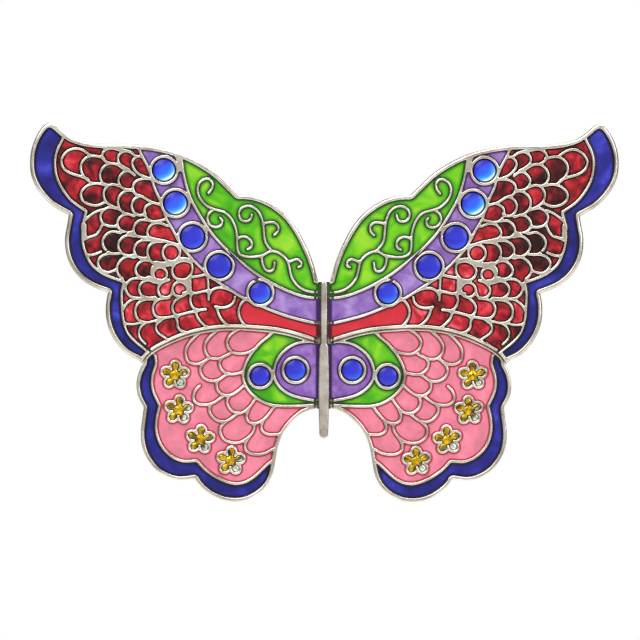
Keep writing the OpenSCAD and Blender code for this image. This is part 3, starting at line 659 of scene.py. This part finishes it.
def matte_floor():
    """Painted board: pale and matt, with a faint roller stipple of 4 mm."""
    material, tree, shader = new_material("painted_board", Roughness=0.85)
    stipple = cloud_in(tree, 4.0)
    tone = add(tree, "ShaderNodeValToRGB", None, {0: stipple}, [
        (0.35, linear("#f4f3f1")), (0.65, linear("#fbfaf8"))]).outputs[0]
    dress(tree, shader, tone, stipple, 0.03)
    return material


FINISHES = {}


def finish_of(maker):
    """The material that a maker gives, made once."""
    if maker not in FINISHES:
        FINISHES[maker] = maker()
    return FINISHES[maker]


# ---------- pieces ----------
# Where the wall beside the body ends, and the stretch over which walls sink towards it
ROOT_WALL_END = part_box("right_forewing_frame")[0].x / MM + 0.32
SINK_START = ROOT_WALL_END + 0.12
SINK_RUN = 0.22
# The enamel runs over the wall beside the body, up to this distance from the middle
ROOT_SPILL = 0.42
# How far it is tucked under its other walls
UNDER_WALL = 0.07
# Outlines with less area than this, in square millimetres, are slips of the CAD's faces
LEAST_WALL_AREA = 0.004
LEAST_CELL_AREA = 0.01


def sink_at_root(spots):
    """Walls sink beside the body, so that enamel runs over them there."""
    t = np.clip((SINK_START - np.abs(spots[:, 0])) / SINK_RUN, 0, 1)
    return size_of("root_dip") * t * t * (3 - 2 * t)


def add_walls(node):
    """The pierced wall frame of one wing part, with rounded polished walls."""
    low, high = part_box(node)
    rim = size_of("rim_round" if "forewing" in node else "wall_round")
    loops = [smooth_loop(loop, size_of("detail"), 3) for loop in flat_outlines(node)]
    loops = [loop for loop in loops if abs(area_of(loop)) > LEAST_WALL_AREA]
    vertices, faces, grime = slab(
        loops, low.y / MM, high.y / MM, size_of("wall_round"), rim, sink_at_root)
    # The walls carry their painted shade by depth as a point attribute
    return piece(node + "_cast", vertices, faces, finish_of(plated_casting), node, {
        "grime": grime})


def crown_of(count, triangles, border, rounds=220):
    """The rise of a liquid drop over each cell, from 0 at its border to 1, and the cell of each point."""
    lines = np.array([line for a, b, c in triangles for line in ((a, b), (b, c), (c, a))])
    both = np.concatenate([lines, lines[:, ::-1]])
    degree = np.maximum(np.bincount(both[:, 0], minlength=count), 1)
    free = np.ones(count)
    free[border] = 0
    rise = np.zeros(count)
    cell = np.arange(count)
    # Each point takes its neighbours' mean and a little more, as a film under even pressure does
    for _ in range(rounds):
        rise = free * (np.bincount(both[:, 0], rise[both[:, 1]], count) / degree + 1)
        smaller = cell.copy()
        np.minimum.at(smaller, both[:, 0], cell[both[:, 1]])
        cell = smaller[smaller]
    top = np.zeros(count)
    np.maximum.at(top, cell, rise)
    return np.sqrt(rise / np.maximum(top[cell], 1e-9)), cell


def scatter(numbers, seed):
    """A fixed value from 0 to 1 for each number."""
    return np.modf(np.abs(np.sin(numbers * 12.9898 + seed) * 43758.5453))[0]


def hump(spots, middle, reach):
    """A rise over the wings that is 1 at the middle, given as (distance from the body, height)."""
    out, up = np.abs(spots[:, 0]), spots[:, 1]
    return np.exp(-((out - middle[0]) / reach[0]) ** 2 - ((up - middle[1]) / reach[1]) ** 2)


def drop_tint(spots, cell):
    """How light a drop is, with a chance share of its own: darker towards the top of the wing and most of all
    in its middle, and pinker above the hindwing."""
    upper = np.clip((spots[:, 1] - 2.5) / 7, 0, 1)
    tint = 0.22 * scatter(cell, 1.0) - 0.11 - 0.08 * upper
    tint -= 0.3 * hump(spots, (22, 3.4), (3.6, 4.4))
    # Pinker above the hindwing, as painted highlight
    return tint + 0.2 * hump(spots, (15.2, 0.6), (2.4, 2.2))


def add_enamel(node, maker, spacing, rise, climb):
    """Enamel in the cells of one colour, tucked against its walls."""
    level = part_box(node)[0].y / MM
    climb_reach = 0.09
    loops = []
    for rough in flat_outlines(node):
        loop = smooth_loop(rough, size_of("detail") * 1.3, 2)
        if abs(area_of(loop)) < LEAST_CELL_AREA:
            continue
        grown = shifted(loop, -UNDER_WALL)
        # Points that reach the wall beside the body move on over it
        close = np.abs(grown[:, 0]) < ROOT_WALL_END + 0.02
        grown[close, 0] = np.sign(grown[close, 0]) * ROOT_SPILL
        loops.append(grown)
    inner = [grid_inside(loops, spacing, spacing * 0.55)]
    shore = Shore(loops)
    if climb or rise:
        for distance in (0.07, 0.15):
            inner += [ring_inside(loop, shore, distance) for loop in loops]
    spots, triangles, own = filled(loops, np.concatenate(inner))
    edge = shore.distance(spots)
    crown, cell = crown_of(len(spots), triangles, [i for numbers in own for i in numbers])
    height = rise * crown + climb * np.exp(-((edge / climb_reach) ** 2))
    vertices = np.stack([spots[:, 0], level - height, spots[:, 1]], 1)
    return piece(node + "_fill", vertices, triangles, finish_of(maker), node, {
        "edge": edge - UNDER_WALL, "root": np.abs(spots[:, 0]), "tint": drop_tint(spots, cell)})


# How strong each stone's painted highlight is on a wing, in the order of the CAD's numbers
STONE_HIGHLIGHT = (1.0, 1.0, 0.42, 0.3, 0.62, 0.52, 0.34)
STONE_FACETS = 56


def add_stone(node, strength):
    """A round cabochon with a straight girdle and a low dome, with a painted highlight at its lower right."""
    low, high = (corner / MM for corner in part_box(node))
    radius = (high.x - low.x) / 2
    middle = ((low.x + high.x) / 2, (low.z + high.z) / 2)
    dome = size_of("stone_dome")
    profile = [(1.0, high.y), (1.0, low.y + dome), (0.985, low.y + dome * 0.86)]
    for angle in np.radians(np.arange(14, 90, 6)):
        profile.append((math.cos(angle), low.y + dome * 0.8 * (1 - math.sin(angle))))
    count = STONE_FACETS
    vertices, faces, edge, glow = [], [], [], []
    for share, y in profile:
        for k in range(count):
            angle = 2 * math.pi * k / count
            px, pz = share * math.cos(angle), share * math.sin(angle)
            vertices.append((middle[0] + radius * px, y, middle[1] + radius * pz))
            edge.append(radius * (1 - share))
            # Painted highlight, brightest towards the lower right
            glow.append(strength * (0.5 + 0.8 * share * (0.55 * px - 0.84 * pz)))
    vertices.append((middle[0], low.y, middle[1]))
    edge.append(radius)
    glow.append(strength * 0.5)
    for ring in range(len(profile) - 1):
        for k in range(count):
            a, b = ring * count + k, ring * count + (k + 1) % count
            faces.append((a, b, b + count, a + count))
    last = (len(profile) - 1) * count
    faces += [(last + k, last + (k + 1) % count, len(vertices) - 1) for k in range(count)]
    return piece(node + "_cabochon", vertices, faces, finish_of(stone_glass), node, {
        "edge": edge, "glow": np.clip(glow, 0, 1)})


# From a flower's middle to its petals' tips, the turn of its first petal, and its grid of points
PETAL_REACH = 1.3
FIRST_PETAL = math.pi / 2 + 0.07
FLOWER_GRID = 0.085


def add_flower(node):
    """A moulded flower: five crowned petals with a groove between each two, that meet in a raised eye."""
    low, high = (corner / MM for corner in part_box(node))
    middle = np.array(((low.x + high.x) / 2, (low.z + high.z) / 2))
    loops = [shifted(smooth_loop(loop, 0.07, 2), -0.05) for loop in flat_outlines(node)]
    spots, triangles, own = filled(loops, grid_inside(loops, FLOWER_GRID, 0.05))
    crown, _ = crown_of(len(spots), triangles, own[0], 120)
    local = (spots - middle) / PETAL_REACH
    reach = np.linalg.norm(local, axis=1)
    turn = np.arctan2(local[:, 1], local[:, 0])
    petal = np.cos(2.5 * (turn - FIRST_PETAL)) ** 2
    height = size_of("petal_rise") * crown + 0.05 * petal * np.clip(reach, 0, 1)
    height += 0.05 * np.exp(-(reach / 0.25) ** 2)
    # A painted silver-white reflection towards the flower's lower right
    glow = np.clip(0.14 + 0.42 * (0.8 * local[:, 0] - 0.7 * local[:, 1]), 0, 1)
    vertices = np.stack([spots[:, 0], low.y + 0.12 - height, spots[:, 1]], 1)
    return piece(node + "_crystal", vertices, triangles, finish_of(amber_crystal), node, {
        "edge": Shore(loops).distance(spots), "glow": glow})


def add_plate(node):
    """The wing's floor, seen from behind: cast skin with a rounded rim."""
    low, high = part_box(node)
    step, rim, growth = size_of("detail") * 1.6, 0.22, 0.02
    loops = [shifted(smooth_loop(loop, step, 2), -growth) for loop in flat_outlines(node, "back")]
    vertices, faces, _ = slab(loops, high.y / MM, low.y / MM, rim, rim, backward=True)
    first = len(vertices)
    front = [(x, low.y / MM, z) for x, _, z in vertices]
    front_faces = [tuple(i + first for i in reversed(face)) for face in faces if len(face) == 3]
    return piece(node + "_cast", vertices + front, faces + front_faces, finish_of(cast_back), node)


def add_bar(node, maker, edge, towards_front):
    """A slim bar with rounded ends and edges, and in front a casting pit near its foot."""
    low, high = (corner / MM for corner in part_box(node))
    loops = [smooth_loop(loop, 0.07, 1) for loop in flat_outlines(node, "front" if towards_front else "back")]
    near, far = (low.y, high.y) if towards_front else (high.y, low.y)

    def pit(spots):
        """How deep the pit is at each spot."""
        place, deepest, reach = np.array([0.03, low.z + 0.75]), 0.12, 0.11
        return deepest * np.exp(-((spots - place) ** 2).sum(1) / reach ** 2)

    vertices, faces, _ = slab(
        loops, near, far, edge, edge, pit if towards_front else None, backward=not towards_front)
    # Painted shade deepens down the bar's sides, as far as a light shade
    depth = np.abs(np.array(vertices)[:, 1] - near)
    return piece(node + "_cast", vertices, faces, finish_of(maker), node, {
        "grime": np.minimum(0.12 * depth, 0.08)})


def add_finding(node, maker, width):
    """A stock finding with its machined edges broken."""
    shape = bmesh.new()
    shape.from_mesh(frame["nodes"][node].data)
    bmesh.ops.remove_doubles(shape, verts=shape.verts, dist=0.0005 * MM)
    bmesh.ops.dissolve_limit(shape, angle_limit=math.radians(1), verts=shape.verts, edges=shape.edges)
    mesh = bpy.data.meshes.new(node + "_part")
    shape.to_mesh(mesh)
    shape.free()
    made = stand_in(node + "_part", mesh, finish_of(maker), node)
    edge = made.modifiers.new("broken edges", "BEVEL")
    edge.width = width * MM
    edge.segments = 2
    edge.limit_method = "ANGLE"
    edge.angle_limit = math.radians(30)
    edge.harden_normals = True
    return made


# ---------- operators ----------
class BROOCH_OT_walls(bpy.types.Operator):
    """Cast wall frames of all four wings"""
    bl_idname = "brooch.walls"
    bl_label = "Wall frames"

    def execute(self, context):
        for side in SIDES:
            for wing in ("forewing", "hindwing"):
                add_walls(f"{side}_{wing}_frame")
        return {"FINISHED"}


class BROOCH_OT_plates(bpy.types.Operator):
    """Cast floors behind the wings"""
    bl_idname = "brooch.plates"
    bl_label = "Wing floors"

    def execute(self, context):
        for side in SIDES:
            add_plate(f"{side}_back_plate")
        return {"FINISHED"}


class BROOCH_OT_body(bpy.types.Operator):
    """Body bar in front and rib behind"""
    bl_idname = "brooch.body"
    bl_label = "Body bar and rib"

    def execute(self, context):
        add_bar("body_bar", plated_casting, edge=0.14, towards_front=True)
        add_bar("back_rib", cast_back, edge=0.25, towards_front=False)
        return {"FINISHED"}


# For each enamel zone: slot, material, spacing of its points, share of the drop height, share of the climb
ENAMEL_ZONES = {
    "forewing_blue_border": ("blue_enamel", blue_enamel, 0.3, 0, 1),
    "hindwing_blue_border": ("blue_enamel", blue_enamel, 0.3, 0, 1),
    "red_scales": ("red_enamel", ruby_enamel, 0.17, 1, 0),
    "red_band": ("red_enamel", band_enamel, 0.3, 0, 1),
    "lilac_panels": ("lilac_enamel", lilac_enamel, 0.25, 0, 1),
    "green_panel": ("green_enamel", lime_enamel, 0.22, 0, 1),
    "green_crescents": ("green_enamel", lime_enamel, 0.22, 0, 1),
    "pink_scales": ("pink_enamel", pink_enamel, 0.2, 0.4, 1),
    "purple_eye": ("purple_enamel", purple_enamel, 0.25, 0, 1),
}


class BROOCH_OT_enamel(bpy.types.Operator):
    """Enamel in every colour zone"""
    bl_idname = "brooch.enamel"
    bl_label = "Enamel"

    def execute(self, context):
        drop_rise, climb = size_of("drop_rise"), size_of("climb")
        for side in SIDES:
            for zone, (slot, maker, spacing, rise_share, climb_share) in ENAMEL_ZONES.items():
                add_enamel(f"{side}_{zone}", maker, spacing,
                           rise_share * drop_rise, climb_share * climb)
        return {"FINISHED"}


class BROOCH_OT_stones(bpy.types.Operator):
    """Blue cabochons and amber flowers"""
    bl_idname = "brooch.stones"
    bl_label = "Stones and flowers"

    def execute(self, context):
        for side in SIDES:
            for number, strength in enumerate(STONE_HIGHLIGHT, 1):
                add_stone(f"{side}_blue_stone_{number}", strength)
            for number in range(1, FLOWER_COUNT + 1):
                add_flower(f"{side}_flower_{number}")
        return {"FINISHED"}


# For each finding: slot, material, width of its broken edges
FINDINGS = {
    "pin_joint": ("findings", cast_back, 0.06),
    "catch_base": ("findings", cast_back, 0.06),
    "catch_rotor": ("findings", plated_casting, 0.05),
    "hinge_rivet": ("findings", pin_steel, 0.05),
    "pin_stem": ("pin_steel", pin_steel, 0.03),
}


class BROOCH_OT_findings(bpy.types.Operator):
    """Pin joint, rivet, pin stem and safety catch"""
    bl_idname = "brooch.findings"
    bl_label = "Pin and catch"

    def execute(self, context):
        for node, (slot, maker, width) in FINDINGS.items():
            add_finding(node, maker, width)
        return {"FINISHED"}


# Soft boxes, with their place and size in metres and their power in watts
SOFT_BOXES = {
    "key_box": ((-0.18, -0.3, 0.28), (0.3, 0.3), 1.1),
    "fill_box": ((0.26, -0.3, 0.14), (0.2, 0.26), 0.5),
    "top_box": ((0.05, -0.05, 0.42), (0.3, 0.3), 1.4),
    "rear_box": ((0.2, 0.4, 0.3), (0.35, 0.3), 1.3),
}
FLOOR_LEVEL = -0.12
FLOOR_REACH = 1.5
# The camera looks straight along the brooch's depth, from a little below and with a slight lean. Its aim and
# the width that it takes in are in millimetres.
CAMERA_LENS = 250
CAMERA_ELEVATION = math.radians(-1)
CAMERA_LEAN = math.radians(0.12)
CAMERA_AIM = (-0.42, -4.7, -3.95)
CAMERA_WIDTH = 67.2


def soft_box(name, place, aim, size, power):
    """An area light that the camera doesn't see."""
    data = bpy.data.lights.new(name, "AREA")
    data.shape = "RECTANGLE"
    data.size, data.size_y = size
    data.energy = power
    lamp = bpy.data.objects.new(name, data)
    lamp.location = place
    lamp.rotation_euler = (Vector(aim) - Vector(place)).to_track_quat("-Z", "Y").to_euler()
    lamp.visible_camera = False
    bpy.context.scene.collection.objects.link(lamp)


def lay_floor():
    """A plain painted board far below the brooch."""
    shape = bmesh.new()
    bmesh.ops.create_grid(shape, x_segments=24, y_segments=24, size=FLOOR_REACH)
    for vertex in shape.verts:
        vertex.co.z = FLOOR_LEVEL
    mesh = bpy.data.meshes.new("floor")
    shape.to_mesh(mesh)
    shape.free()
    mesh.materials.append(finish_of(matte_floor))
    floor = bpy.data.objects.new("floor", mesh)
    bpy.context.scene.collection.objects.link(floor)


def paint_room():
    """A pale room: bright panels before and behind the brooch, dim walls at its sides, and white where it is
    seen."""
    world = bpy.data.worlds.new("pale_room")
    bpy.context.scene.world = world
    world.use_nodes = True
    tree = world.node_tree
    place = add(tree, "ShaderNodeTexCoord").outputs["Generated"]
    facing = add(tree, "ShaderNodeSeparateXYZ", None, {0: place})
    forward = add(tree, "ShaderNodeMath", {"operation": "ABSOLUTE"}, {0: facing.outputs["Y"]}).outputs[0]
    room = add(tree, "ShaderNodeValToRGB", None, {0: forward}, [
        (0.15, linear("#7c7b7a")), (0.65, linear("#959493")), (0.92, linear("#d6d5d3"))]).outputs[0]
    seen = add(tree, "ShaderNodeLightPath").outputs["Is Camera Ray"]
    colour = add(tree, "ShaderNodeMix", {"data_type": "RGBA"}, {0: seen, 6: room, 7: linear("#ffffff")})
    tree.links.new(colour.outputs[2], tree.nodes["Background"].inputs["Color"])


def set_camera():
    """The camera before the brooch."""
    data = bpy.data.cameras.new("view")
    data.lens = CAMERA_LENS
    data.clip_start, data.clip_end = 0.01, 10
    camera = bpy.data.objects.new("view", data)
    bpy.context.scene.collection.objects.link(camera)
    back = Vector((0, -math.cos(CAMERA_ELEVATION), math.sin(CAMERA_ELEVATION)))
    distance = CAMERA_WIDTH * MM * CAMERA_LENS / data.sensor_width
    camera.location = Vector(CAMERA_AIM) * MM + back * distance
    camera.rotation_euler = (-back).to_track_quat("-Z", "Y").to_euler()
    camera.rotation_euler.rotate_axis("Z", CAMERA_LEAN)
    bpy.context.scene.camera = camera


class BROOCH_OT_stage(bpy.types.Operator):
    """Pale floor, soft lights and the camera"""
    bl_idname = "brooch.stage"
    bl_label = "Stage"

    def execute(self, context):
        context.scene.view_settings.view_transform = "Standard"
        centre = (Vector(CAD_BOX[0]) + Vector(CAD_BOX[1])) / 2
        lay_floor()
        paint_room()
        for name, (place, size, power) in SOFT_BOXES.items():
            soft_box(name, place, centre, size, power)
        set_camera()
        return {"FINISHED"}


class BROOCH_PT_panel(bpy.types.Panel):
    """Lists the brooch's builders"""
    bl_idname = "BROOCH_PT_panel"
    bl_label = "Butterfly brooch"
    bl_space_type = "VIEW_3D"
    bl_region_type = "UI"
    bl_category = "Brooch"

    def draw(self, context):
        layout = self.layout
        for key in BroochSizes.__annotations__:
            layout.prop(context.scene.brooch_sizes, key)
        for key in BroochLooks.__annotations__:
            layout.prop(context.scene.brooch_looks, key)
        for operator in OPERATORS:
            layout.operator(operator.bl_idname)


OPERATORS = (BROOCH_OT_walls, BROOCH_OT_plates, BROOCH_OT_body, BROOCH_OT_enamel, BROOCH_OT_stones,
             BROOCH_OT_findings, BROOCH_OT_stage)
CLASSES = (BroochSizes, BroochLooks, *OPERATORS, BROOCH_PT_panel)


def register():
    for cls in CLASSES:
        bpy.utils.register_class(cls)
    bpy.types.Scene.brooch_sizes = PointerProperty(type=BroochSizes)
    bpy.types.Scene.brooch_looks = PointerProperty(type=BroochLooks)


def unregister():
    del bpy.types.Scene.brooch_looks
    del bpy.types.Scene.brooch_sizes
    for cls in reversed(CLASSES):
        bpy.utils.unregister_class(cls)


def main():
    register()
    bpy.ops.brooch.walls()
    bpy.ops.brooch.plates()
    bpy.ops.brooch.body()
    bpy.ops.brooch.enamel()
    bpy.ops.brooch.stones()
    bpy.ops.brooch.findings()
    bpy.ops.brooch.stage()
    bpy.context.view_layer.update()


if __name__ == "__main__":
    main()
